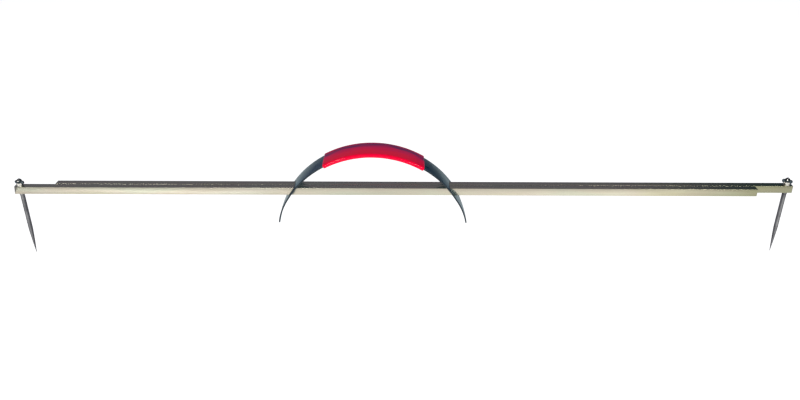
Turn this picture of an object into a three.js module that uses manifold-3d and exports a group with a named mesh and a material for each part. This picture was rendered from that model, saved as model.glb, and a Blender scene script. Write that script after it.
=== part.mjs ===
// Hand-held carrying bar of adjustable length. Two square steel bars lie side by side and slide
// through slotted legs of a spring-steel bow. The bow's crown wears a moulded grip, and each bar
// holds a pointed spike at its outer end, screwed up against the bar by a wing nut.
// Millimetres, +Z up, +X along the bars. The origin is the middle of the bow's crown, in the hand.
import * as THREE from "three";
import { mergeVertices } from "three/addons/utils/BufferGeometryUtils.js";
import Module from "manifold-3d";

// Bars
const BAR_SIDE = 10;
const BAR_LENGTH = 972;
const BAR_GAP = 0.3;
const BAR_EDGE = 0.35; // chamfer along the four long edges
const BAR_DROP = 55; // from the crown's mid-surface down to the bars' mid-height
const SPIKE_INSET = 7; // from a bar's outer end to its spike
const FRONT_SPIKE_X = -461;
const REAR_SPIKE_X = 547.5;
const CORNER_CUT_ALONG = 5; // the ground outer corner, at the bar's top face
const CORNER_CUT_ACROSS = 2.4;

// Bow
const BOW_RADIUS = 127.5; // mid-surface
const BOW_HALF_ANGLE = THREE.MathUtils.degToRad(80.2);
const STRIP_WIDTH = 36;
const STRIP_THICKNESS = 2;
const STRIP_TIP_WIDTH = 1.6;
const TAPER_DROP = 7; // below the bars' mid-height, where the legs begin to narrow
const SLOT_WIDTH = 21;
const SLOT_LENGTH = 14.4; // along the strip

// Grip
const GRIP_HALF_ANGLE = THREE.MathUtils.degToRad(30.2);
const GRIP_TURN = THREE.MathUtils.degToRad(1.3); // the sleeve sits a little off the crown's middle
const GRIP_WIDTH = 40;
const GRIP_THICKNESS = 6;
const GRIP_CORNER = 2.6;
const GRIP_CLEARANCE = 0.3;

// Spike, with the stud that passes up through the bar
const STUD_RADIUS = 2;
const STUD_ABOVE_BAR = 10.2;
const STUD_CHAMFER = 0.5;
const SPIKE_LENGTH = 92; // below the bar
const SHOULDER_RADIUS = 3.2;
const SHOULDER_HEIGHT = 2.8;
const SHANK_RADIUS = 2.8;
const POINT_START_RADIUS = 2.7;
const POINT_LENGTH = 38;
const POINT_MIDDLE_RADIUS = 1.7; // halfway down the point, a little fuller than a cone
const TIP_RADIUS = 0.25;

// Fastening
const HOLE_RADIUS = 2.35;
const FACE_GAP = 0.1; // between faces that rest on each other
const WASHER_RADIUS = 4.5;
const WASHER_THICKNESS = 0.9;
const HUB_BASE_RADIUS = 4;
const HUB_TOP_RADIUS = 3.1;
const HUB_HEIGHT = 7.6;
const WING_REACH = 6.6;
const WING_TOP = 6.2;
const WING_LOBE_RADIUS = 2.3;
const WING_THICKNESS = 2.6;
const FRONT_NUT_TURN = THREE.MathUtils.degToRad(-12);
const REAR_NUT_TURN = THREE.MathUtils.degToRad(-27);

// Faceting
const BOW_SEGMENTS = 64;
const GRIP_SEGMENTS = 36;
const ROUND_SEGMENTS = 24;
const CORNER_SEGMENTS = 4;

const STEEL_BRIGHT = { color: 0xc9c6b4, metalness: 0.95, roughness: 0.3 };
const STEEL_SPRING = { color: 0x6f7a7c, metalness: 0.9, roughness: 0.4 };
const STEEL_DARK = { color: 0x5c5d60, metalness: 0.9, roughness: 0.42 };
const STEEL_BLUED = { color: 0x20282c, metalness: 0.8, roughness: 0.3 };
const GRIP_RED = { color: 0xc00630, metalness: 0, roughness: 0.2 };

const wasm = await Module();
wasm.setup();

// A closed geometry as a solid that can be joined and cut.
function solidFrom(geometry) {
  const bare = geometry.index ? geometry.toNonIndexed() : geometry.clone();
  bare.deleteAttribute("normal");
  bare.deleteAttribute("uv");
  const merged = mergeVertices(bare, 1e-4);
  return new wasm.Manifold(
    new wasm.Mesh({
      numProp: 3,
      vertProperties: merged.attributes.position.array,
      triVerts: new Uint32Array(merged.index.array),
    }),
  );
}

function geometryFrom(solid) {
  const mesh = solid.getMesh();
  const geometry = new THREE.BufferGeometry();
  geometry.setAttribute("position", new THREE.BufferAttribute(mesh.vertProperties, 3));
  geometry.setIndex(new THREE.BufferAttribute(mesh.triVerts, 1));
  geometry.computeVertexNormals();
  return geometry;
}

function named(name, geometry, finish) {
  const mesh = new THREE.Mesh(geometry, new THREE.MeshStandardMaterial(finish));
  mesh.name = name;
  return mesh;
}

// An outline in X and Z, given a thickness along Y and centred on Y = 0.
function plateAcross(shape, thickness, curveSegments) {
  return new THREE.ExtrudeGeometry(shape, {
    depth: thickness,
    bevelEnabled: false,
    curveSegments,
  })
    .translate(0, 0, -thickness / 2)
    .rotateX(Math.PI / 2);
}

// An outline in radius and height, turned about Z.
function turned(outline) {
  const points = outline.map(([radius, height]) => new THREE.Vector2(radius, height));
  return new THREE.LatheGeometry(points, ROUND_SEGMENTS).rotateX(Math.PI / 2);
}

// Half-angle at which the bow's mid-surface passes a height given below the crown.
function bowAngleAt(drop) {
  return Math.acos((BOW_RADIUS - drop) / BOW_RADIUS);
}

// A curved bar outline in X and Z, following the bow's arc.
function bowOutline(innerRadius, outerRadius, halfAngle) {
  const top = Math.PI / 2;
  const shape = new THREE.Shape();
  shape.absarc(0, -BOW_RADIUS, outerRadius, top - halfAngle, top + halfAngle, false);
  shape.absarc(0, -BOW_RADIUS, innerRadius, top + halfAngle, top - halfAngle, true);
  shape.closePath();
  return shape;
}

// The slot punched square through one leg, where the bars pass.
function slotCutter(side) {
  const angle = side * bowAngleAt(BAR_DROP);
  const cutter = new THREE.BoxGeometry(SLOT_LENGTH, SLOT_WIDTH, STRIP_THICKNESS * 4);
  cutter.rotateY(angle);
  cutter.translate(BOW_RADIUS * Math.sin(angle), 0, BOW_RADIUS * (Math.cos(angle) - 1));
  return solidFrom(cutter);
}

// The bow's outline seen from its end: full width down to the bars, then narrowing to a point.
function legTaperKeeper() {
  const shoulder = -BAR_DROP - TAPER_DROP;
  const tip = BOW_RADIUS * (Math.cos(BOW_HALF_ANGLE) - 1) - STRIP_THICKNESS;
  const half = STRIP_WIDTH / 2;
  const tipHalf = STRIP_TIP_WIDTH / 2;
  const bulge = (half + tipHalf) / 2 + 1.5; // each edge is slightly convex
  const middle = (shoulder + tip) / 2;
  const shape = new THREE.Shape();
  shape.moveTo(-half, STRIP_THICKNESS * 2);
  shape.lineTo(-half, shoulder);
  shape.quadraticCurveTo(-bulge, middle, -tipHalf, tip);
  shape.lineTo(tipHalf, tip);
  shape.quadraticCurveTo(bulge, middle, half, shoulder);
  shape.lineTo(half, STRIP_THICKNESS * 2);
  shape.closePath();
  const reach = BOW_RADIUS * 2.4;
  const keeper = plateAcross(shape, reach, 10);
  return solidFrom(keeper.rotateZ(Math.PI / 2));
}

function bowStrip() {
  const half = STRIP_THICKNESS / 2;
  const outline = bowOutline(BOW_RADIUS - half, BOW_RADIUS + half, BOW_HALF_ANGLE);
  const strip = solidFrom(plateAcross(outline, STRIP_WIDTH, BOW_SEGMENTS));
  const slotted = strip.subtract(slotCutter(-1)).subtract(slotCutter(1));
  return named("bow_strip", geometryFrom(slotted.intersect(legTaperKeeper())), STEEL_SPRING);
}

class CrownArc extends THREE.Curve {
  getPoint(t, target = new THREE.Vector3()) {
    const angle = (2 * t - 1) * GRIP_HALF_ANGLE + GRIP_TURN;
    const height = BOW_RADIUS * (Math.cos(angle) - 1);
    return target.set(BOW_RADIUS * Math.sin(angle), 0, height);
  }
}

function roundedRectangle(path, width, height, corner) {
  const x = width / 2;
  const y = height / 2;
  path.moveTo(x - corner, -y);
  path.absarc(x - corner, -y + corner, corner, -Math.PI / 2, 0, false);
  path.absarc(x - corner, y - corner, corner, 0, Math.PI / 2, false);
  path.absarc(-x + corner, y - corner, corner, Math.PI / 2, Math.PI, false);
  path.absarc(-x + corner, -y + corner, corner, Math.PI, Math.PI * 1.5, false);
  path.closePath();
  return path;
}

function sweptAlongCrown(section, curveSegments) {
  return solidFrom(
    new THREE.ExtrudeGeometry(section, {
      extrudePath: new CrownArc(),
      steps: GRIP_SEGMENTS,
      curveSegments,
    }),
  );
}

// A sleeve pushed over the strip, open at both ends.
function gripSleeve() {
  const section = roundedRectangle(new THREE.Shape(), GRIP_WIDTH, GRIP_THICKNESS, GRIP_CORNER);
  const opening = new THREE.Path();
  const x = STRIP_WIDTH / 2 + GRIP_CLEARANCE;
  const y = STRIP_THICKNESS / 2 + GRIP_CLEARANCE;
  opening.moveTo(-x, -y);
  opening.lineTo(-x, y);
  opening.lineTo(x, y);
  opening.lineTo(x, -y);
  opening.closePath();
  section.holes.push(opening);
  return named("grip_sleeve", geometryFrom(sweptAlongCrown(section, CORNER_SEGMENTS)), GRIP_RED);
}

// One bar along X from its spike's hole at X = 0, with its outer end at X = -SPIKE_INSET.
function barGeometry() {
  const half = BAR_SIDE / 2;
  const flat = half - BAR_EDGE;
  const section = new THREE.Shape();
  section.moveTo(-half, -flat);
  section.lineTo(-flat, -half);
  section.lineTo(flat, -half);
  section.lineTo(half, -flat);
  section.lineTo(half, flat);
  section.lineTo(flat, half);
  section.lineTo(-flat, half);
  section.lineTo(-half, flat);
  section.closePath();
  const stock = new THREE.ExtrudeGeometry(section, { depth: BAR_LENGTH, bevelEnabled: false })
    .rotateY(Math.PI / 2)
    .translate(-SPIKE_INSET, 0, 0);
  const drill = new THREE.CylinderGeometry(HOLE_RADIUS, HOLE_RADIUS, BAR_SIDE * 2, ROUND_SEGMENTS)
    .rotateX(Math.PI / 2);
  return geometryFrom(
    solidFrom(stock).subtract(solidFrom(drill)).subtract(cornerCutter()),
  );
}

// A wedge that grinds the outer front corner away: widest at the top face, nothing at the bottom.
function cornerCutter() {
  const half = BAR_SIDE / 2;
  const reach = BAR_SIDE;
  const normal = new THREE.Vector3(
    -1 / CORNER_CUT_ALONG,
    -1 / CORNER_CUT_ACROSS,
    1 / BAR_SIDE,
  ).normalize();
  const onPlane = new THREE.Vector3(-SPIKE_INSET, -half, -half);
  const cutter = new THREE.BoxGeometry(reach * 3, reach * 3, reach);
  cutter.translate(0, 0, reach / 2);
  cutter.applyQuaternion(
    new THREE.Quaternion().setFromUnitVectors(new THREE.Vector3(0, 0, 1), normal),
  );
  cutter.translate(onPlane.x, onPlane.y, onPlane.z);
  return solidFrom(cutter);
}

function washerGeometry() {
  return turned([
    [HOLE_RADIUS, 0],
    [WASHER_RADIUS, 0],
    [WASHER_RADIUS, WASHER_THICKNESS],
    [HOLE_RADIUS, WASHER_THICKNESS],
    [HOLE_RADIUS, 0],
  ]);
}

function spikeGeometry() {
  const barHalf = BAR_SIDE / 2;
  const underside = -barHalf - FACE_GAP;
  const tip = -barHalf - SPIKE_LENGTH;
  const studTop = barHalf + STUD_ABOVE_BAR;
  return turned([
    [0, tip],
    [TIP_RADIUS, tip + TIP_RADIUS],
    [POINT_MIDDLE_RADIUS, tip + POINT_LENGTH / 2],
    [POINT_START_RADIUS, tip + POINT_LENGTH],
    [SHANK_RADIUS, underside - SHOULDER_HEIGHT],
    [SHOULDER_RADIUS, underside - SHOULDER_HEIGHT],
    [SHOULDER_RADIUS, underside],
    [STUD_RADIUS, underside],
    [STUD_RADIUS, studTop - STUD_CHAMFER],
    [STUD_RADIUS - STUD_CHAMFER, studTop],
    [0, studTop],
  ]);
}

// One wing of the nut, an upright ear that leans outwards from the hub.
function wingOutline() {
  const root = HOLE_RADIUS + 0.4;
  const lobeX = WING_REACH - WING_LOBE_RADIUS;
  const lobeZ = WING_TOP - WING_LOBE_RADIUS;
  const shape = new THREE.Shape();
  shape.moveTo(root, 0.8);
  shape.lineTo(HUB_BASE_RADIUS, 1.1);
  shape.quadraticCurveTo(WING_REACH - 0.6, 1.4, WING_REACH, lobeZ);
  shape.absarc(lobeX, lobeZ, WING_LOBE_RADIUS, 0, Math.PI * 0.6, false);
  shape.lineTo(root, HUB_HEIGHT);
  shape.closePath();
  return shape;
}

function wingNutGeometry() {
  const hub = solidFrom(
    turned([
      [0, 0],
      [HUB_BASE_RADIUS, 0],
      [HUB_BASE_RADIUS, 0.8],
      [HUB_TOP_RADIUS, HUB_HEIGHT],
      [0, HUB_HEIGHT],
    ]),
  );
  const wing = plateAcross(wingOutline(), WING_THICKNESS, 8);
  const otherWing = wing.clone().rotateZ(Math.PI);
  const bore = new THREE.CylinderGeometry(
    HOLE_RADIUS,
    HOLE_RADIUS,
    HUB_HEIGHT * 4,
    ROUND_SEGMENTS,
  ).rotateX(Math.PI / 2);
  return geometryFrom(
    hub.add(solidFrom(wing)).add(solidFrom(otherWing)).subtract(solidFrom(bore)),
  );
}

// A bar with its spike, washer and wing nut, built about the spike's axis at the bar's mid-height.
function barAssembly(barName, side, nutTurn) {
  const group = new THREE.Group();
  const washer = named(`${side}_washer`, washerGeometry(), STEEL_BRIGHT);
  washer.position.z = BAR_SIDE / 2 + FACE_GAP;
  const nut = named(`${side}_wing_nut`, wingNutGeometry(), STEEL_BLUED);
  nut.position.z = washer.position.z + WASHER_THICKNESS + FACE_GAP;
  nut.rotation.z = nutTurn;
  group.add(
    named(barName, barGeometry(), STEEL_BRIGHT),
    named(`${side}_spike`, spikeGeometry(), STEEL_DARK),
    washer,
    nut,
  );
  return group;
}

const barOffset = (BAR_SIDE + BAR_GAP) / 2;
const front = barAssembly("front_bar", "left", FRONT_NUT_TURN);
front.position.set(FRONT_SPIKE_X, -barOffset, -BAR_DROP);
const rear = barAssembly("rear_bar", "right", REAR_NUT_TURN);
rear.position.set(REAR_SPIKE_X, barOffset, -BAR_DROP);
rear.rotation.z = Math.PI; // the same parts, turned end for end

const carryingBar = new THREE.Group();
carryingBar.add(bowStrip(), gripSleeve(), front, rear);

export default carryingBar;
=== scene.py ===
"""Looks of a hand-held carrying bar: two bright square bars, a bow with a red grip, and two spikes."""
import math

import bmesh
import bpy
from mathutils import Matrix, Vector, noise


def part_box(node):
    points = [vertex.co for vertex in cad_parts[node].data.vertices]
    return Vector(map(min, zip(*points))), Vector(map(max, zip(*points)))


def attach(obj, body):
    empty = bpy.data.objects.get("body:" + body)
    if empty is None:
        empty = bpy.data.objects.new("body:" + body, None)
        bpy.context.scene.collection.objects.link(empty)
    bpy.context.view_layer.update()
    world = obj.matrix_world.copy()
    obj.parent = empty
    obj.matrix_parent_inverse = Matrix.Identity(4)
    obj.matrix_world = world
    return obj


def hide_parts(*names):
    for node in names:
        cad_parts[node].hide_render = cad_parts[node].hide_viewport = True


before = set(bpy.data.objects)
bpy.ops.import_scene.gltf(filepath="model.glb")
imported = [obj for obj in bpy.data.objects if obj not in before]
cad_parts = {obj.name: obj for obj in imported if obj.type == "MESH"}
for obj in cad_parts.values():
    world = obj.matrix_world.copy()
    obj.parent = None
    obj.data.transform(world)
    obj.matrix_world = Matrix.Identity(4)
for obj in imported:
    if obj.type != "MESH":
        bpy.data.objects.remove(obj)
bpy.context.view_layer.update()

MM = 0.001

# ---------------------------------------------------------------- camera

CAMERA_LENS = 35.1
SENSOR_WIDTH = 36
CAMERA_PITCH = math.radians(27.4)
CAMERA_ROLL = math.radians(0.19)
CAMERA_DISTANCE = 1.037
CAMERA_AIM = Vector((0.0366, 0.0, -0.0723))


def add_camera():
    """A camera in front of the bar, looking down on it and square to its length."""
    data = bpy.data.cameras.new("camera")
    data.lens = CAMERA_LENS
    data.sensor_width = SENSOR_WIDTH
    data.dof.use_dof = False
    camera = bpy.data.objects.new("camera", data)
    bpy.context.scene.collection.objects.link(camera)
    away = Vector((0, -math.cos(CAMERA_PITCH), math.sin(CAMERA_PITCH)))
    tilt = Matrix.Rotation(math.pi / 2 - CAMERA_PITCH, 4, "X")
    roll = Matrix.Rotation(CAMERA_ROLL, 4, "Z")
    camera.matrix_world = Matrix.Translation(CAMERA_AIM + away * CAMERA_DISTANCE) @ tilt @ roll
    bpy.context.scene.camera = camera


add_camera()

# ---------------------------------------------------------------- sizes, from the frame

BAR_LOW, BAR_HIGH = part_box("front_bar")
STRIP_LOW, STRIP_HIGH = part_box("bow_strip")
GRIP_LOW, GRIP_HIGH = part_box("grip_sleeve")
WASHER_LOW, WASHER_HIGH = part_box("left_washer")
SPIKE_LOW, SPIKE_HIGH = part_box("left_spike")

BAR_SIDE = BAR_HIGH.z - BAR_LOW.z
BAR_LENGTH = BAR_HIGH.x - BAR_LOW.x
BAR_MIDDLE = (BAR_HIGH.z + BAR_LOW.z) / 2
FRONT_AXIS = (SPIKE_LOW + SPIKE_HIGH) / 2
SPIKE_INSET = FRONT_AXIS.x - BAR_LOW.x

STRIP_THICKNESS = 2 * STRIP_HIGH.z
STRIP_WIDTH = STRIP_HIGH.y - STRIP_LOW.y
GRIP_THICKNESS = 2 * GRIP_HIGH.z
GRIP_WIDTH = GRIP_HIGH.y - GRIP_LOW.y
BOW_RADIUS = 127.5 * MM
BOW_HALF_ANGLE = math.radians(80.2)
GRIP_START = math.asin(GRIP_LOW.x / (BOW_RADIUS + GRIP_THICKNESS / 2))
GRIP_END = math.asin(GRIP_HIGH.x / (BOW_RADIUS + GRIP_THICKNESS / 2))
TAPER_DROP = 7 * MM
SLOT_LENGTH = 14.4 * MM
SLOT_WIDTH = 21 * MM

HOLE_RADIUS = 2.35 * MM
STUD_RADIUS = 2 * MM
SHOULDER_RADIUS = (SPIKE_HIGH.x - SPIKE_LOW.x) / 2
WASHER_RADIUS = (WASHER_HIGH.x - WASHER_LOW.x) / 2


def axis_of(node):
    """The middle of a CAD node's box, at the bars' mid-height."""
    low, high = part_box(node)
    centre = (low + high) / 2
    return Vector((centre.x, centre.y, BAR_MIDDLE))


# ---------------------------------------------------------------- node helpers


def add_node(tree, kind, sockets=None, **settings):
    """A shader node; a socket is given a value, or another node's output to link."""
    node = tree.nodes.new(kind)
    for name, value in settings.items():
        setattr(node, name, value)
    for key, value in (sockets or {}).items():
        if isinstance(value, bpy.types.NodeSocket):
            tree.links.new(value, node.inputs[key])
        else:
            node.inputs[key].default_value = value
    return node


def stretched_noise(tree, scale, detail=3.0, roughness=0.5, shift=(0, 0, 0)):
    """Noise over the piece's own coordinates, with its own scale along each axis, per metre."""
    place = add_node(tree, "ShaderNodeTexCoord")
    mapping = add_node(
        tree,
        "ShaderNodeMapping",
        {"Vector": place.outputs["Object"], "Scale": scale, "Location": shift},
    )
    texture = add_node(
        tree,
        "ShaderNodeTexNoise",
        {"Vector": mapping.outputs["Vector"], "Scale": 1.0, "Detail": detail, "Roughness": roughness},
    )
    return texture.outputs["Fac"]


def ramp(tree, factor, stops):
    """A colour ramp; stops are (position, colour) with three-part colours."""
    node = add_node(tree, "ShaderNodeValToRGB", {"Fac": factor})
    elements = node.color_ramp.elements
    while len(elements) < len(stops):
        elements.new(0.5)
    for element, (position, colour) in zip(elements, stops):
        element.position = position
        element.color = (*colour, 1)
    return node.outputs["Color"]


def span(tree, factor, low, high, to_low, to_high):
    """A value mapped from one range to another, and kept within it."""
    node = add_node(
        tree,
        "ShaderNodeMapRange",
        {
            "Value": factor,
            "From Min": low,
            "From Max": high,
            "To Min": to_low,
            "To Max": to_high,
        },
    )
    return node.outputs["Result"]


def blend_colours(tree, factor, first, second, mode="MIX"):
    """One colour laid over another; the factor and the colours are values or sockets."""
    node = add_node(tree, "ShaderNodeMix", data_type="RGBA", blend_type=mode)
    for index, value in ((0, factor), (6, first), (7, second)):
        if isinstance(value, bpy.types.NodeSocket):
            tree.links.new(value, node.inputs[index])
        elif index:
            node.inputs[index].default_value = (*value, 1)
        else:
            node.inputs[index].default_value = value
    return node.outputs[2]


def bumped(tree, height, strength, distance):
    """A normal roughened by a height; distance is in metres."""
    node = add_node(
        tree,
        "ShaderNodeBump",
        {"Height": height, "Strength": strength, "Distance": distance},
    )
    return node.outputs["Normal"]


def new_material(name, **constants):
    """A material and its tree; constants are the Principled shader's own sockets."""
    material = bpy.data.materials.new(name)
    material.use_nodes = True
    shader = material.node_tree.nodes["Principled BSDF"]
    for key, value in constants.items():
        shader.inputs[key.replace("_", " ")].default_value = value
    return material, material.node_tree, shader


# ---------------------------------------------------------------- materials


def along_x(tree, low, high):
    """How far along X a point of the piece lies, 0 at one X and 1 at the other, in metres."""
    place = add_node(tree, "ShaderNodeTexCoord")
    parts = add_node(tree, "ShaderNodeSeparateXYZ", {"Vector": place.outputs["Object"]})
    return span(tree, parts.outputs["X"], low, high, 0, 1)


def sideways_facing(tree):
    """How squarely the surface faces along Y, from 0 to 1."""
    geometry = add_node(tree, "ShaderNodeNewGeometry")
    parts = add_node(tree, "ShaderNodeSeparateXYZ", {"Vector": geometry.outputs["Normal"]})
    size = add_node(tree, "ShaderNodeMath", {0: parts.outputs["Y"]}, operation="ABSOLUTE")
    return size.outputs["Value"]


# Where along X the bars' colour starts and stops darkening towards the right end, as painted shade.
PAINTED_SHADE_START = 250 * MM
PAINTED_SHADE_END = 560 * MM


def bright_bar_material():
    """Cold-drawn bright steel: fine lengthwise lines, an uneven tint of oil, and a right end darkened in
    the colour as painted shade, for the darker surroundings that its faces mirror.
    """
    material, tree, shader = new_material(
        "bright_bar", Metallic=1.0, Anisotropic=0.3, Specular_Tint=(0.8, 0.78, 0.74, 1)
    )
    oil = stretched_noise(tree, (7, 60, 60), detail=2)
    tone = ramp(
        tree,
        oil,
        [
            (0.30, (0.345, 0.325, 0.255)),
            (0.48, (0.375, 0.355, 0.28)),
            (0.60, (0.37, 0.345, 0.27)),
            (0.75, (0.41, 0.39, 0.315)),
        ],
    )
    tint = ramp(
        tree,
        stretched_noise(tree, (11, 45, 90), detail=1, shift=(3, 0, 0)),
        [
            (0.34, (0.80, 0.97, 0.95)),
            (0.46, (1.0, 1.0, 1.0)),
            (0.56, (1.0, 0.88, 0.95)),
            (0.68, (1.0, 0.99, 0.82)),
        ],
    )
    colour = blend_colours(tree, 0.3, tone, tint, "MULTIPLY")
    # Painted shade: the colour dims towards the right end, standing in for darker surroundings mirrored
    # there.
    painted_shade = ramp(
        tree,
        along_x(tree, PAINTED_SHADE_START, PAINTED_SHADE_END),
        [
            (0.0, (1.0, 1.0, 1.0)),
            (0.45, (0.92, 0.92, 0.86)),
            (0.80, (0.60, 0.64, 0.52)),
            (1.0, (0.55, 0.58, 0.50)),
        ],
    )
    colour = blend_colours(tree, 1.0, colour, painted_shade, "MULTIPLY")
    draw_lines = stretched_noise(tree, (12, 5200, 5200), detail=4, roughness=0.6)
    marks = stretched_noise(tree, (400, 700, 700), detail=5, roughness=0.7)
    tree.links.new(colour, shader.inputs["Base Color"])
    tree.links.new(span(tree, draw_lines, 0.3, 0.7, 0.17, 0.3), shader.inputs["Roughness"])
    fine = bumped(tree, draw_lines, 0.2, 0.00004)
    worn = add_node(
        tree,
        "ShaderNodeBump",
        {"Height": marks, "Strength": 0.1, "Distance": 0.0001, "Normal": fine},
    )
    tree.links.new(worn.outputs["Normal"], shader.inputs["Normal"])
    return material


def sawn_end_material():
    """The bars' sawn and ground ends: dull grey, with coarse scratches."""
    material, tree, shader = new_material("sawn_end", Metallic=1.0)
    scratches = stretched_noise(tree, (300, 2600, 900), detail=4, roughness=0.7)
    tone = ramp(
        tree,
        scratches,
        [(0.3, (0.13, 0.13, 0.12)), (0.7, (0.24, 0.235, 0.21))],
    )
    tree.links.new(tone, shader.inputs["Base Color"])
    tree.links.new(span(tree, scratches, 0.3, 0.7, 0.4, 0.6), shader.inputs["Roughness"])
    tree.links.new(bumped(tree, scratches, 0.4, 0.0001), shader.inputs["Normal"])
    return material


def spring_steel_material():
    """Hardened strip: mottled blue-grey, with fine lines along its length, and darker on the edge faces
    that turn along Y.
    """
    material, tree, shader = new_material(
        "spring_steel", Metallic=1.0, Specular_Tint=(0.6, 0.63, 0.6, 1)
    )
    mottle = stretched_noise(tree, (60, 110, 60), detail=5, roughness=0.6)
    tone = ramp(
        tree,
        mottle,
        [
            (0.28, (0.095, 0.17, 0.23)),
            (0.50, (0.13, 0.20, 0.255)),
            (0.72, (0.17, 0.23, 0.27)),
        ],
    )
    # The faces turned along Y, the strip's thin edges, are coloured near-black.
    dark_edges = span(tree, sideways_facing(tree), 0.3, 0.8, 0, 1)
    colour = blend_colours(tree, dark_edges, tone, (0.028, 0.035, 0.042))
    rolled = stretched_noise(tree, (160, 3800, 160), detail=3)
    tree.links.new(colour, shader.inputs["Base Color"])
    tree.links.new(span(tree, mottle, 0.3, 0.7, 0.24, 0.4), shader.inputs["Roughness"])
    tree.links.new(bumped(tree, rolled, 0.3, 0.00005), shader.inputs["Normal"])
    return material


def spike_material():
    """Dark turned steel with fine rings, lighter on the sides that face front and back as a painted
    highlight; the middle of the stud's end is painted bright as a painted highlight.
    """
    material, tree, shader = new_material(
        "spike_steel", Metallic=1.0, Specular_Tint=(0.2, 0.2, 0.21, 1)
    )
    bands = stretched_noise(tree, (40, 40, 90), detail=4)
    dark = ramp(
        tree,
        bands,
        [(0.3, (0.045, 0.045, 0.05)), (0.7, (0.085, 0.085, 0.092))],
    )
    # Painted highlight: a lighter copy of the dark steel, laid where the surface faces along Y.
    painted_highlight = ramp(
        tree,
        bands,
        [(0.3, (0.10, 0.10, 0.105)), (0.7, (0.20, 0.2, 0.2))],
    )
    painted_highlight_mask = span(tree, sideways_facing(tree), 0.72, 0.99, 0, 1)
    colour = blend_colours(tree, painted_highlight_mask, dark, painted_highlight)
    # Painted highlight: the middle of the stud's domed end is coloured near-white.
    painted_stud_highlight = add_node(tree, "ShaderNodeAttribute", attribute_name="painted_stud_highlight")
    colour = blend_colours(tree, painted_stud_highlight.outputs["Fac"], colour, (0.8, 0.8, 0.78))
    rings = stretched_noise(tree, (60, 60, 4200), detail=2)
    tree.links.new(colour, shader.inputs["Base Color"])
    tree.links.new(span(tree, rings, 0.3, 0.7, 0.2, 0.34), shader.inputs["Roughness"])
    tree.links.new(bumped(tree, rings, 0.3, 0.00005), shader.inputs["Normal"])
    return material


def nut_material():
    """Black, glossy steel, painted bright where the hub attribute says: a painted reflection of the floor
    on the hub's low flanks, and a painted highlight near its top.
    """
    material, tree, shader = new_material(
        "nut_steel",
        Metallic=1.0,
        Specular_Tint=(0.3, 0.33, 0.36, 1),
        Coat_Weight=0.3,
        Coat_Roughness=0.06,
    )
    wear = stretched_noise(tree, (420, 420, 420), detail=4)
    dark = ramp(
        tree,
        wear,
        [(0.35, (0.010, 0.018, 0.022)), (0.65, (0.035, 0.05, 0.058))],
    )
    bright = ramp(
        tree,
        wear,
        [(0.35, (0.55, 0.53, 0.46)), (0.65, (0.75, 0.72, 0.66))],
    )
    # Painted reflection and highlight: the hub attribute selects the bright copy of the steel.
    hub = add_node(tree, "ShaderNodeAttribute", attribute_name="hub")
    tree.links.new(blend_colours(tree, hub.outputs["Fac"], dark, bright), shader.inputs["Base Color"])
    tree.links.new(span(tree, wear, 0.3, 0.7, 0.14, 0.26), shader.inputs["Roughness"])
    cast = stretched_noise(tree, (1500, 1500, 1500), detail=3)
    tree.links.new(bumped(tree, cast, 0.2, 0.00008), shader.inputs["Normal"])
    return material


def plated_material():
    """Bright zinc plate with a faint grain."""
    material, tree, shader = new_material("zinc_plate", Metallic=1.0)
    grain = stretched_noise(tree, (900, 900, 900), detail=4)
    tone = ramp(tree, grain, [(0.35, (0.6, 0.6, 0.55)), (0.65, (0.72, 0.7, 0.64))])
    tree.links.new(tone, shader.inputs["Base Color"])
    tree.links.new(span(tree, grain, 0.3, 0.7, 0.2, 0.36), shader.inputs["Roughness"])
    tree.links.new(bumped(tree, grain, 0.15, 0.00006), shader.inputs["Normal"])
    return material


TONE_HALF_WIDTH = 20 * MM
STREAK_WANDER = 30 * MM
STREAK_PLACE = 25 * MM
STREAK_CORE = 2 * MM
STREAK_HALF_WIDTH = 6 * MM


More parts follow.
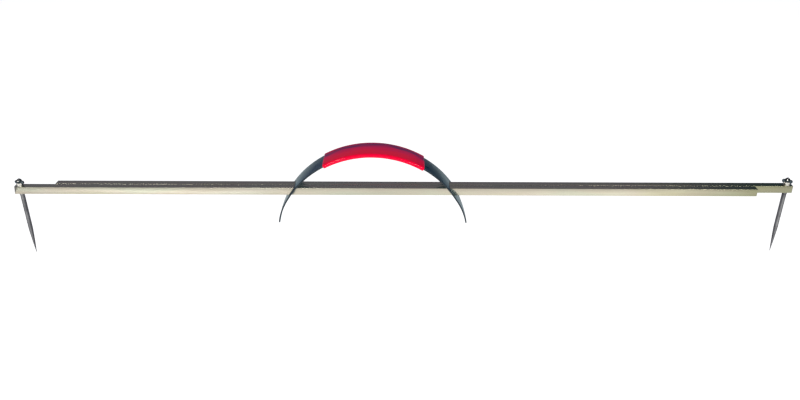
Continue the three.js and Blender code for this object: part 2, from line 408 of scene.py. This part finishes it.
def grip_material():
    """Glossy red vinyl, bright in front and duller behind as painted light and shade, under a broken purple
    streak, red at the back.
    """
    material, tree, shader = new_material("red_vinyl", Metallic=0.0, Specular_IOR_Level=0.1)
    flow = stretched_noise(tree, (24, 150, 150), detail=5, roughness=0.62)
    place = add_node(tree, "ShaderNodeTexCoord")
    parts = add_node(tree, "ShaderNodeSeparateXYZ", {"Vector": place.outputs["Object"]})
    # Painted light and shade: the colour is brighter at the front of the sleeve and duller behind it.
    painted_shade_behind = span(tree, parts.outputs["Y"], -TONE_HALF_WIDTH, TONE_HALF_WIDTH, 0, 0.8)
    stirred = add_node(
        tree, "ShaderNodeMath", {0: flow, 1: 0.5, 2: painted_shade_behind}, operation="MULTIPLY_ADD"
    )
    tone = ramp(
        tree,
        span(tree, stirred.outputs["Value"], 0.1, 1.1, 0, 1),
        [
            (0.15, (0.74, 0.0004, 0.03)),
            (0.42, (0.74, 0.0004, 0.045)),
            (0.58, (0.60, 0.0006, 0.07)),
            (0.78, (0.44, 0.001, 0.075)),
            (0.95, (0.60, 0.001, 0.03)),
        ],
    )
    wander = add_node(
        tree,
        "ShaderNodeMath",
        {0: stretched_noise(tree, (22, 4, 4), detail=1), 1: STREAK_WANDER, 2: parts.outputs["Y"]},
        operation="MULTIPLY_ADD",
    )
    offset = add_node(
        tree, "ShaderNodeMath", {0: wander.outputs["Value"], 1: -STREAK_PLACE}, operation="ADD"
    )
    apart = add_node(tree, "ShaderNodeMath", {0: offset.outputs["Value"]}, operation="ABSOLUTE")
    band = span(tree, apart.outputs["Value"], STREAK_CORE, STREAK_HALF_WIDTH, 1, 0)
    broken = span(tree, stretched_noise(tree, (40, 260, 90), detail=4), 0.3, 0.55, 0.1, 0.9)
    streak = add_node(tree, "ShaderNodeMath", {0: band, 1: broken}, operation="MULTIPLY")
    colour = blend_colours(tree, streak.outputs["Value"], tone, (0.10, 0.012, 0.085))
    tree.links.new(colour, shader.inputs["Base Color"])
    tree.links.new(span(tree, flow, 0.3, 0.7, 0.08, 0.16), shader.inputs["Roughness"])
    peel = stretched_noise(tree, (700, 900, 900), detail=2)
    tree.links.new(bumped(tree, peel, 0.1, 0.0002), shader.inputs["Normal"])
    return material


BRIGHT_BAR = bright_bar_material()
SAWN_END = sawn_end_material()
SPRING_STEEL = spring_steel_material()
SPIKE_STEEL = spike_material()
NUT_STEEL = nut_material()
ZINC_PLATE = plated_material()
RED_VINYL = grip_material()

# ---------------------------------------------------------------- mesh helpers

MERGE_DISTANCE = 1e-7
SLIVER_AREA = 1e-14


def loft(rings, closed=False):
    """A skin through rings of equally many points, capped at both ends unless it closes on itself."""
    bm = bmesh.new()
    rows = [[bm.verts.new(point) for point in ring] for ring in rings]
    count = len(rows[0])
    following = rows[1:] + (rows[:1] if closed else [])
    for low, high in zip(rows, following):
        for i in range(count):
            j = (i + 1) % count
            bm.faces.new((low[i], low[j], high[j], high[i]))
    if not closed:
        bm.faces.new(list(reversed(rows[0])))
        bm.faces.new(rows[-1])
    return bm


def drop_slivers(bm):
    """Merges points that lie on each other, and drops the faces that this leaves with no area."""
    bmesh.ops.remove_doubles(bm, verts=bm.verts, dist=MERGE_DISTANCE)
    flat = [face for face in bm.faces if face.calc_area() < SLIVER_AREA]
    bmesh.ops.delete(bm, geom=flat, context="FACES_ONLY")


def lathe(profile, segments, closed=False):
    """A profile of (radius, height) turned about Z; a point of radius 0 becomes a pole."""
    angles = [2 * math.pi * i / segments for i in range(segments)]
    rings = [
        [Vector((r * math.cos(a), r * math.sin(a), z)) for a in angles] for r, z in profile
    ]
    bm = loft(rings, closed)
    drop_slivers(bm)
    return bm


def rounded_rectangle(width, height, corner, steps, corner_height=None):
    """Points round a rectangle with round or elliptical corners, centred on the origin."""
    rise = corner_height or corner
    points = []
    x = width / 2 - corner
    y = height / 2 - rise
    for quarter, (sx, sy) in enumerate(((1, 1), (-1, 1), (-1, -1), (1, -1))):
        for step in range(steps + 1):
            angle = math.pi / 2 * (quarter + step / steps)
            points.append((sx * x + corner * math.cos(angle), sy * y + rise * math.sin(angle)))
    return points


def mesh_from(name, bm, place=None):
    """A mesh with its faces pointing out, moved by a matrix if one is given."""
    if place:
        bmesh.ops.transform(bm, matrix=place, verts=bm.verts)
    bmesh.ops.recalc_face_normals(bm, faces=bm.faces)
    mesh = bpy.data.meshes.new(name)
    bm.to_mesh(mesh)
    bm.free()
    return mesh


def new_object(name, mesh):
    """An object for a mesh, linked to the scene."""
    obj = bpy.data.objects.new(name, mesh)
    bpy.context.scene.collection.objects.link(obj)
    return obj


def settle(obj):
    """Puts the result of an object's modifiers into its mesh."""
    bpy.context.view_layer.update()
    depsgraph = bpy.context.evaluated_depsgraph_get()
    mesh = bpy.data.meshes.new_from_object(obj.evaluated_get(depsgraph))
    obj.modifiers.clear()
    obj.data = mesh
    return obj


def cut(obj, *cutters):
    """Takes the cutters out of an object, and removes them."""
    for cutter in cutters:
        modifier = obj.modifiers.new("cut", "BOOLEAN")
        modifier.operation = "DIFFERENCE"
        modifier.solver = "EXACT"
        modifier.object = cutter
    settle(obj)
    for cutter in cutters:
        bpy.data.objects.remove(cutter)
    return obj


def finish_piece(obj, material, body, node, sharp=35):
    """Gives a piece its material and shading, and hands it to the frame in place of its CAD node."""
    if not obj.data.materials:
        obj.data.materials.append(material)
    obj.data.shade_smooth()
    obj.data.set_sharp_from_angle(angle=math.radians(sharp))
    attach(obj, body)
    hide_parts(node)


# ---------------------------------------------------------------- bars

BAR_EDGE = 0.22 * MM
END_CHAMFER = 0.2 * MM
CORNER_CUT_ALONG = 5 * MM
CORNER_CUT_ACROSS = 2.4 * MM
END_FACING = 0.3  # a face turned further than this along X is an end
BAR_CORNER_STEPS = 4
DRILL_SEGMENTS = 32


def bar_bmesh():
    """One bar along X about its spike's axis, with rounded edges and its outer front corner ground off."""
    start = -SPIKE_INSET
    end = start + BAR_LENGTH
    stations = [
        (start, END_CHAMFER),
        (start + END_CHAMFER, 0),
        (end - END_CHAMFER, 0),
        (end, END_CHAMFER),
    ]
    rings = []
    for x, inset in stations:
        side = BAR_SIDE - 2 * inset
        section = rounded_rectangle(side, side, BAR_EDGE - inset / 2, BAR_CORNER_STEPS)
        rings.append([Vector((x, y, z)) for y, z in section])
    bm = loft(rings)
    normal = Vector((-1 / CORNER_CUT_ALONG, -1 / CORNER_CUT_ACROSS, 1 / BAR_SIDE)).normalized()
    corner = Vector((start, -BAR_SIDE / 2, -BAR_SIDE / 2))
    bmesh.ops.bisect_plane(
        bm,
        geom=bm.verts[:] + bm.edges[:] + bm.faces[:],
        plane_co=corner,
        plane_no=normal,
        clear_outer=True,
    )
    open_edges = [edge for edge in bm.edges if edge.is_boundary]
    bmesh.ops.holes_fill(bm, edges=open_edges)
    return bm


def add_bar(name, node, body, axis, turn):
    """A drilled bar about its spike's axis; its sawn ends and ground corner are dull, the rest bright."""
    bar = new_object(name, mesh_from(name, bar_bmesh()))
    drill = lathe([(HOLE_RADIUS, -BAR_SIDE), (HOLE_RADIUS, BAR_SIDE)], DRILL_SEGMENTS)
    cut(bar, new_object("drill", mesh_from("drill", drill)))
    bar.data.materials.clear()
    bar.data.materials.append(BRIGHT_BAR)
    bar.data.materials.append(SAWN_END)
    for face in bar.data.polygons:
        face.material_index = int(abs(face.normal.x) > END_FACING)
    bar.data.transform(Matrix.Translation(axis) @ Matrix.Rotation(turn, 4, "Z"))
    finish_piece(bar, BRIGHT_BAR, body, node)


add_bar("square_bar_front", "front_bar", "front_bar", axis_of("left_spike"), 0)
add_bar("square_bar_rear", "rear_bar", "rear_bar", axis_of("right_spike"), math.pi)

# ---------------------------------------------------------------- bow

STRIP_EDGE = 0.6 * MM
STRIP_TIP_WIDTH = 1.6 * MM
STRIP_EDGE_SHARE = 0.45
STRIP_CORNER_STEPS = 4
LEG_BULGE = 1.5 * MM
SLOT_CORNER = 0.8 * MM
SLOT_CORNER_STEPS = 5
BOW_STATIONS = 220


def bow_point(angle, lift, across):
    """A point on the bow: angle from its crown, lift off the strip's mid-surface, and Y."""
    radius = BOW_RADIUS + lift
    return Vector((radius * math.sin(angle), across, radius * math.cos(angle) - BOW_RADIUS))


def strip_width(height):
    """The strip's width at a height: full down to the bars, then narrowing to the leg's tip."""
    shoulder = BAR_MIDDLE - TAPER_DROP
    tip = BOW_RADIUS * (math.cos(BOW_HALF_ANGLE) - 1) - STRIP_THICKNESS
    t = min(max((shoulder - height) / (shoulder - tip), 0), 1)
    half = STRIP_WIDTH / 2
    tip_half = STRIP_TIP_WIDTH / 2
    bulge = (half + tip_half) / 2 + LEG_BULGE
    return 2 * ((1 - t) ** 2 * half + 2 * t * (1 - t) * bulge + t**2 * tip_half)


def slot_cutter(side):
    """What a leg's slot takes out of the strip; side is -1 at the left and 1 at the right."""
    angle = side * math.acos((BOW_RADIUS + BAR_MIDDLE) / BOW_RADIUS)
    outline = rounded_rectangle(SLOT_LENGTH, SLOT_WIDTH, SLOT_CORNER, SLOT_CORNER_STEPS)
    depth = 3 * STRIP_THICKNESS
    rings = [[Vector((x, y, z)) for x, y in outline] for z in (-depth, depth)]
    place = Matrix.Translation(bow_point(angle, 0, 0)) @ Matrix.Rotation(angle, 4, "Y")
    return new_object("slot_cutter", mesh_from("slot_cutter", loft(rings), place))


def add_bow():
    """The strip as one arc, with the bars' slots cut through its legs."""
    rings = []
    for i in range(BOW_STATIONS + 1):
        angle = BOW_HALF_ANGLE * (2 * i / BOW_STATIONS - 1)
        width = strip_width(bow_point(angle, 0, 0).z)
        corner = min(STRIP_EDGE, STRIP_EDGE_SHARE * width)
        section = rounded_rectangle(width, STRIP_THICKNESS, corner, STRIP_CORNER_STEPS)
        rings.append([bow_point(angle, lift, across) for across, lift in section])
    bow = new_object("sprung_bow", mesh_from("sprung_bow", loft(rings)))
    cut(bow, slot_cutter(-1), slot_cutter(1))
    finish_piece(bow, SPRING_STEEL, "bow", "bow_strip")


add_bow()

# ---------------------------------------------------------------- grip

GRIP_CORNER = 3.0 * MM
GRIP_CORNER_RISE = 2.7 * MM
GRIP_CORNER_STEPS = 10
GRIP_LIP = 0.7 * MM
LIP_STEPS = 4
GRIP_CLEARANCE = 0.3 * MM
GRIP_STATIONS = 90
GRIP_WAVE = 0.16 * MM
WAVE_ALONG = 9
WAVE_ACROSS = 90
WAVE_LIFT = 40
BORE_CORNER = 0.3 * MM


def grip_ring(angle, inset):
    """The sleeve's outside at one angle, sunk a little in a slow, uneven wave."""
    section = rounded_rectangle(
        GRIP_WIDTH - 2 * inset,
        GRIP_THICKNESS - 2 * inset,
        GRIP_CORNER - inset,
        GRIP_CORNER_STEPS,
        GRIP_CORNER_RISE - inset,
    )
    ring = []
    for across, lift in section:
        sample = Vector((angle * WAVE_ALONG, across * WAVE_ACROSS, lift * WAVE_LIFT))
        sink = GRIP_WAVE * (0.5 + 0.5 * noise.noise(sample))
        scale = 1 - sink / max(abs(lift), STRIP_THICKNESS)
        ring.append(bow_point(angle, lift * scale, across))
    return ring


def grip_bore_ring(angle):
    """The sleeve's inside, with as many points as its outside."""
    section = rounded_rectangle(
        STRIP_WIDTH + 2 * GRIP_CLEARANCE,
        STRIP_THICKNESS + 2 * GRIP_CLEARANCE,
        BORE_CORNER,
        GRIP_CORNER_STEPS,
    )
    return [bow_point(angle, lift, across) for across, lift in section]


def add_grip():
    """The sleeve: rounded lips, a wavy outside and a plain bore, as one closed skin."""
    lip = GRIP_LIP / BOW_RADIUS
    turns = [math.pi / 2 * k / LIP_STEPS for k in range(LIP_STEPS + 1)]
    lips = [(lip * (1 - math.cos(turn)), GRIP_LIP * (1 - math.sin(turn))) for turn in turns]
    rings = [grip_ring(GRIP_START + along, inset) for along, inset in lips]
    for i in range(1, GRIP_STATIONS):
        part = i / GRIP_STATIONS
        rings.append(grip_ring((GRIP_START + lip) * (1 - part) + (GRIP_END - lip) * part, 0))
    rings += [grip_ring(GRIP_END - along, inset) for along, inset in reversed(lips)]
    for i in range(GRIP_STATIONS + 1):
        part = i / GRIP_STATIONS
        rings.append(grip_bore_ring(GRIP_END * (1 - part) + GRIP_START * part))
    grip = new_object("vinyl_grip", mesh_from("vinyl_grip", loft(rings, closed=True)))
    finish_piece(grip, RED_VINYL, "bow", "grip_sleeve", sharp=50)


add_grip()

# ---------------------------------------------------------------- spikes

SPIKE_SEGMENTS = 48
SHOULDER_HEIGHT = 2.8 * MM
FACE_GAP = 0.1 * MM
SHANK_RADIUS = 2.8 * MM
POINT_START_RADIUS = 2.7 * MM
POINT_MIDDLE_RADIUS = 1.7 * MM
POINT_LENGTH = 38 * MM
POINT_FULLNESS = 1.07
POINT_STEPS = 12
TIP_RADIUS = 0.25 * MM
TIP_STEPS = 4
SHOULDER_CHAMFER = 0.25 * MM
FILLET_HEIGHT = 0.4 * MM
FILLET_REACH = 0.15 * MM
THREAD_PITCH = 0.7 * MM
THREAD_DEPTH = 0.4 * MM
THREAD_RUN_OUT = 0.2 * MM
THREAD_STEPS = 8
STUD_DOME = 1.5 * MM
DOME_INSET = 0.2 * MM
DOME_OVERLAP = 0.05 * MM
DOME_STEPS = 6


def spike_bmesh():
    """A turned spike about Z, from its point to its threaded stud, with Z = 0 at the bar's mid-height."""
    half = BAR_SIDE / 2
    tip = SPIKE_LOW.z - BAR_MIDDLE
    under = -half - FACE_GAP
    profile = [(0, tip)]
    for k in range(1, TIP_STEPS):
        turn = math.pi / 2 * k / TIP_STEPS
        profile.append((TIP_RADIUS * math.sin(turn), tip + TIP_RADIUS * (1 - math.cos(turn))))
    for k in range(POINT_STEPS + 1):
        t = k / POINT_STEPS
        radius = (1 - t) ** 2 * TIP_RADIUS
        radius += 2 * t * (1 - t) * POINT_MIDDLE_RADIUS * POINT_FULLNESS
        radius += t**2 * POINT_START_RADIUS
        profile.append((radius, tip + TIP_RADIUS + t * (POINT_LENGTH - TIP_RADIUS)))
    chamfer = SHOULDER_CHAMFER
    low = under - SHOULDER_HEIGHT
    profile += [
        (SHANK_RADIUS, low - FILLET_HEIGHT),
        (SHANK_RADIUS + FILLET_REACH, low),
        (SHOULDER_RADIUS - chamfer, low),
        (SHOULDER_RADIUS, low + chamfer),
        (SHOULDER_RADIUS, under - chamfer),
        (SHOULDER_RADIUS - chamfer, under),
        (STUD_RADIUS, under),
    ]
    top = SPIKE_HIGH.z - BAR_MIDDLE
    thread_start = half
    thread_end = top - STUD_DOME
    profile.append((STUD_RADIUS, thread_start - THREAD_RUN_OUT))
    angles = [2 * math.pi * i / SPIKE_SEGMENTS for i in range(SPIKE_SEGMENTS)]
    rings = [
        [Vector((r * math.cos(a), r * math.sin(a), z)) for a in angles] for r, z in profile
    ]
    steps = round((thread_end - thread_start) / THREAD_PITCH * THREAD_STEPS)
    for k in range(steps + 1):
        z = thread_start + (thread_end - thread_start) * k / steps
        ring = []
        for a in angles:
            phase = ((z - thread_start) / THREAD_PITCH - a / (2 * math.pi)) % 1
            r = STUD_RADIUS - THREAD_DEPTH * (1 - abs(2 * phase - 1))
            ring.append(Vector((r * math.cos(a), r * math.sin(a), z)))
        rings.append(ring)
    for k in range(DOME_STEPS + 1):
        turn = math.pi / 2 * k / DOME_STEPS
        r = (STUD_RADIUS - DOME_INSET) * math.cos(turn)
        z = top - STUD_DOME * (1 - math.sin(turn)) + DOME_OVERLAP * (1 - k / DOME_STEPS)
        rings.append([Vector((r * math.cos(a), r * math.sin(a), z)) for a in angles])
    bm = loft(rings)
    drop_slivers(bm)
    return bm


def add_spike(name, node, body):
    """A spike in its place, with the middle of the stud's domed end noted for a painted highlight."""
    axis = axis_of(node)
    _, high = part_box(node)
    spike = new_object(name, mesh_from(name, spike_bmesh(), Matrix.Translation(axis)))
    # The marked points carry the stud's painted highlight.
    marks = spike.data.attributes.new("painted_stud_highlight", "FLOAT", "POINT")
    for vertex, mark in zip(spike.data.vertices, marks.data):
        off_axis = math.hypot(vertex.co.x - axis.x, vertex.co.y - axis.y)
        mark.value = float(vertex.co.z > high.z - STUD_DOME and off_axis < STUD_RADIUS / 2)
    finish_piece(spike, SPIKE_STEEL, body, node)


add_spike("turned_spike_left", "left_spike", "left_spike")
add_spike("turned_spike_right", "right_spike", "right_spike")

# ---------------------------------------------------------------- washers and wing nuts

WASHER_CHAMFER = 0.12 * MM
WASHER_SEGMENTS = 48

# The nut is made in millimetres, with Z = 0 at its base, and scaled when it is placed.
HUB_SEGMENTS = 48
HUB_BASE_RADIUS = 4.0
HUB_TOP_RADIUS = 3.1
HUB_HEIGHT = 7.6
PAINTED_REFLECTION_HEIGHT = 3.2
HUB_CHAMFER = 0.3
HUB_RIM_HEIGHT = 0.9
HUB_ROUNDING = ((0.1, -1.0), (-0.15, -0.4), (-0.6, 0))  # radius and height, past those of its top
BLANK_MARGIN = 0.05  # the blank's base and flanks lie this far inside the nut's
BORE_BELOW = 2
# The painted highlight's height and size on the front of the hub.
PAINTED_GLINT_HEIGHT = 6.5
PAINTED_GLINT_RADIUS = 0.9
WING_CLEARANCE = 0.25  # the bright flanks stop this short of a wing
WING_ROOT = 1.5
WING_UNDERSIDE = (0.8, 1.1, 1.4)  # heights at the root, at the hub's edge and where the curve pulls
WING_LEAN = 0.6
LOBE_SWEEP = math.pi * 0.6
WING_REACH = 6.6
WING_TOP = 6.2
WING_LOBE_RADIUS = 2.3
WING_THICKNESS = 2.6
WING_MIDDLE = Vector((4.5, 3.2))
WING_BEVEL = 0.35
UNDERSIDE_STEPS = 8
LOBE_STEPS = 12
NUT_VOXEL = 0.16
SMOOTH_FACTOR = 0.5
SMOOTH_STEPS = 6
FRONT_NUT_TURN = math.radians(-12)
REAR_NUT_TURN = math.radians(-27)


def add_washer(name, node, body):
    """A flat, chamfered ring lying on its bar."""
    low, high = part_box(node)
    c = WASHER_CHAMFER
    height = high.z - low.z
    profile = [
        (HOLE_RADIUS, 0),
        (WASHER_RADIUS - c, 0),
        (WASHER_RADIUS, c),
        (WASHER_RADIUS, height - c),
        (WASHER_RADIUS - c, height),
        (HOLE_RADIUS + c, height),
        (HOLE_RADIUS, height - c),
    ]
    centre = axis_of(node)
    place = Matrix.Translation((centre.x, centre.y, low.z))
    ring = lathe(profile, WASHER_SEGMENTS, closed=True)
    washer = new_object(name, mesh_from(name, ring, place))
    finish_piece(washer, ZINC_PLATE, body, node)


def wing_outline():
    """One wing in its own plane: an ear that leans out from the hub."""
    lobe_x = WING_REACH - WING_LOBE_RADIUS
    lobe_z = WING_TOP - WING_LOBE_RADIUS
    root_height, edge_height, pull_height = WING_UNDERSIDE
    start = (HUB_BASE_RADIUS, edge_height)
    pull = (WING_REACH - WING_LEAN, pull_height)
    end = (WING_REACH, lobe_z)
    points = [(WING_ROOT, root_height), start]
    for k in range(1, UNDERSIDE_STEPS + 1):
        t = k / UNDERSIDE_STEPS
        x = (1 - t) ** 2 * start[0] + 2 * t * (1 - t) * pull[0] + t**2 * end[0]
        z = (1 - t) ** 2 * start[1] + 2 * t * (1 - t) * pull[1] + t**2 * end[1]
        points.append((x, z))
    for k in range(1, LOBE_STEPS + 1):
        angle = LOBE_SWEEP * k / LOBE_STEPS
        points.append(
            (
                lobe_x + WING_LOBE_RADIUS * math.cos(angle),
                lobe_z + WING_LOBE_RADIUS * math.sin(angle),
            )
        )
    points.append((WING_ROOT, HUB_HEIGHT))
    return points


def nut_blank(name):
    """Hub and wings melted into one smooth body."""
    hub = lathe(
        [
            (0, BLANK_MARGIN),
            (HUB_BASE_RADIUS - HUB_CHAMFER, BLANK_MARGIN),
            (HUB_BASE_RADIUS - BLANK_MARGIN, HUB_CHAMFER),
            (HUB_BASE_RADIUS - BLANK_MARGIN, HUB_RIM_HEIGHT),
            *((HUB_TOP_RADIUS + out, HUB_HEIGHT + up) for out, up in HUB_ROUNDING),
            (0, HUB_HEIGHT),
        ],
        HUB_SEGMENTS,
    )
    half = WING_THICKNESS / 2 - BLANK_MARGIN
    flat = half - WING_BEVEL
    layers = (
        (-half, WING_BEVEL),
        (-flat, BLANK_MARGIN),
        (flat, BLANK_MARGIN),
        (half, WING_BEVEL),
    )
    for side in (1, -1):
        rings = []
        for y, shrink in layers:
            ring = []
            for x, z in wing_outline():
                inward = (WING_MIDDLE - Vector((x, z))).normalized() * shrink
                ring.append(Vector((side * (x + inward.x), side * y, z + inward.y)))
            rings.append(ring)
        wing = loft(rings)
        bmesh.ops.recalc_face_normals(wing, faces=wing.faces)
        part = bpy.data.meshes.new("wing")
        wing.to_mesh(part)
        wing.free()
        hub.from_mesh(part)
    nut = new_object(name, mesh_from(name, hub))
    melt = nut.modifiers.new("melt", "REMESH")
    melt.mode = "VOXEL"
    melt.voxel_size = NUT_VOXEL
    melt.adaptivity = 0
    smooth = nut.modifiers.new("smooth", "SMOOTH")
    smooth.factor = SMOOTH_FACTOR
    smooth.iterations = SMOOTH_STEPS
    settle(nut)
    return nut


def mark_painted_light(mesh):
    """Notes where the nut's steel is painted bright: the hub's low flanks as a painted reflection of the
    floor, and a spot near its top as a painted highlight.
    """
    marks = mesh.attributes.new("hub", "FLOAT", "POINT")
    for vertex, mark in zip(mesh.vertices, marks.data):
        x, y, z = vertex.co
        # Painted reflection of the floor on the hub's low flanks, and a painted highlight on its front.
        beside = abs(y) > WING_THICKNESS / 2 + WING_CLEARANCE
        below = z < PAINTED_REFLECTION_HEIGHT
        painted_highlight = y < 0 and math.hypot(x, z - PAINTED_GLINT_HEIGHT) < PAINTED_GLINT_RADIUS
        mark.value = float((beside and below) or painted_highlight)


def add_wing_nut(name, node, body, turn):
    """A bored wing nut on its stud, with its wings turned about it."""
    nut = nut_blank(name)
    radius = HOLE_RADIUS / MM
    bore = lathe([(radius, -BORE_BELOW), (radius, HUB_HEIGHT * 2)], HUB_SEGMENTS)
    cut(nut, new_object("bore", mesh_from("bore", bore)))
    mark_painted_light(nut.data)
    low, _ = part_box(node)
    centre = axis_of(node)
    place = Matrix.Translation((centre.x, centre.y, low.z))
    nut.data.transform(place @ Matrix.Rotation(turn, 4, "Z") @ Matrix.Scale(MM, 4))
    finish_piece(nut, NUT_STEEL, body, node, sharp=50)


add_washer("plain_washer_left", "left_washer", "front_bar")
add_washer("plain_washer_right", "right_washer", "rear_bar")
add_wing_nut("winged_nut_left", "left_wing_nut", "left_nut", FRONT_NUT_TURN)
add_wing_nut("winged_nut_right", "right_wing_nut", "right_nut", REAR_NUT_TURN)

# ---------------------------------------------------------------- stage

FLOOR_SIZE = 20
FLOOR_DROP = 0.62
FLOOR_GLOW = 0.72
WORLD_STRENGTH = 0.64
WORLD_FRONT = (0, -0.8, 0.6)
DARK_FROM = 0.28
DARK_TO = 0.43
CROWN = (0, 0, 0)
LEFT_BOX_PLACE = (-1.1, -1.9, 0.95)
RIGHT_BOX_PLACE = (1.2, -1.9, 0.9)
BOX_SIZE = (0.45, 1.1)
BOX_POWER = 30
POOL_Y = -1.13
POOL_HEIGHT = 0.3
POOL_SIZE = (0.3, 0.2)


def add_floor():
    """A white floor that also glows, so that it stays plain white to its far edge."""
    size = FLOOR_SIZE
    corners = [(-size, -size, 0), (size, -size, 0), (size, size, 0), (-size, size, 0)]
    mesh = bpy.data.meshes.new("floor")
    mesh.from_pydata(corners, [], [(0, 1, 2, 3)])
    floor = new_object("floor", mesh)
    floor.location.z = -FLOOR_DROP
    material, tree, shader = new_material("floor_white", Roughness=0.9)
    shader.inputs["Base Color"].default_value = (0.92, 0.92, 0.92, 1)
    shader.inputs["Emission Color"].default_value = (1, 1, 1, 1)
    shader.inputs["Emission Strength"].default_value = FLOOR_GLOW
    mesh.materials.append(material)


def add_world():
    """A studio that is mid grey in front and overhead, bluish behind, and dark navy behind to the right."""
    world = bpy.data.worlds.new("studio")
    world.use_nodes = True
    tree = world.node_tree
    background = tree.nodes["Background"]
    place = add_node(tree, "ShaderNodeTexCoord")
    towards = add_node(
        tree,
        "ShaderNodeVectorMath",
        {0: place.outputs["Generated"], 1: WORLD_FRONT},
        operation="DOT_PRODUCT",
    )
    front = span(tree, towards.outputs["Value"], -1, 1, 0, 1)
    front_end = [(0.60, (0.5, 0.5, 0.5)), (0.78, (0.42, 0.42, 0.42))]
    left_light = ramp(
        tree,
        front,
        [(0.22, (0.34, 0.345, 0.47)), (0.42, (0.50, 0.51, 0.64))] + front_end,
    )
    right_light = ramp(
        tree,
        front,
        [(0.22, (0.03, 0.10, 0.17)), (0.42, (0.10, 0.2, 0.3))] + front_end,
    )
    parts = add_node(tree, "ShaderNodeSeparateXYZ", {"Vector": place.outputs["Generated"]})
    rightwards = span(tree, parts.outputs["X"], DARK_FROM, DARK_TO, 0, 1)
    light = blend_colours(tree, rightwards, left_light, right_light)
    tree.links.new(light, background.inputs["Color"])
    background.inputs["Strength"].default_value = WORLD_STRENGTH
    bpy.context.scene.world = world


def add_area(name, place, aim, size, energy):
    """A soft rectangular light at one place, aimed at another."""
    data = bpy.data.lights.new(name, "AREA")
    data.shape = "RECTANGLE"
    data.size, data.size_y = size
    data.energy = energy
    light = bpy.data.objects.new(name, data)
    light.location = place
    light.rotation_euler = (Vector(aim) - Vector(place)).to_track_quat("-Z", "Y").to_euler()
    bpy.context.scene.collection.objects.link(light)


def add_pool(name, x, energy):
    """A low light that brightens a patch of the floor in front, which the bars' faces mirror."""
    above = (x, POOL_Y, POOL_HEIGHT - FLOOR_DROP)
    add_area(name, above, (x, POOL_Y, -FLOOR_DROP), POOL_SIZE, energy)


add_floor()
add_world()
add_area("left_box", LEFT_BOX_PLACE, CROWN, BOX_SIZE, BOX_POWER)
add_area("right_box", RIGHT_BOX_PLACE, CROWN, BOX_SIZE, BOX_POWER)
add_pool("left_pool", x=-1.6, energy=4.0)
add_pool("right_pool", x=0.35, energy=0.9)
bpy.context.scene.view_settings.view_transform = "Standard"
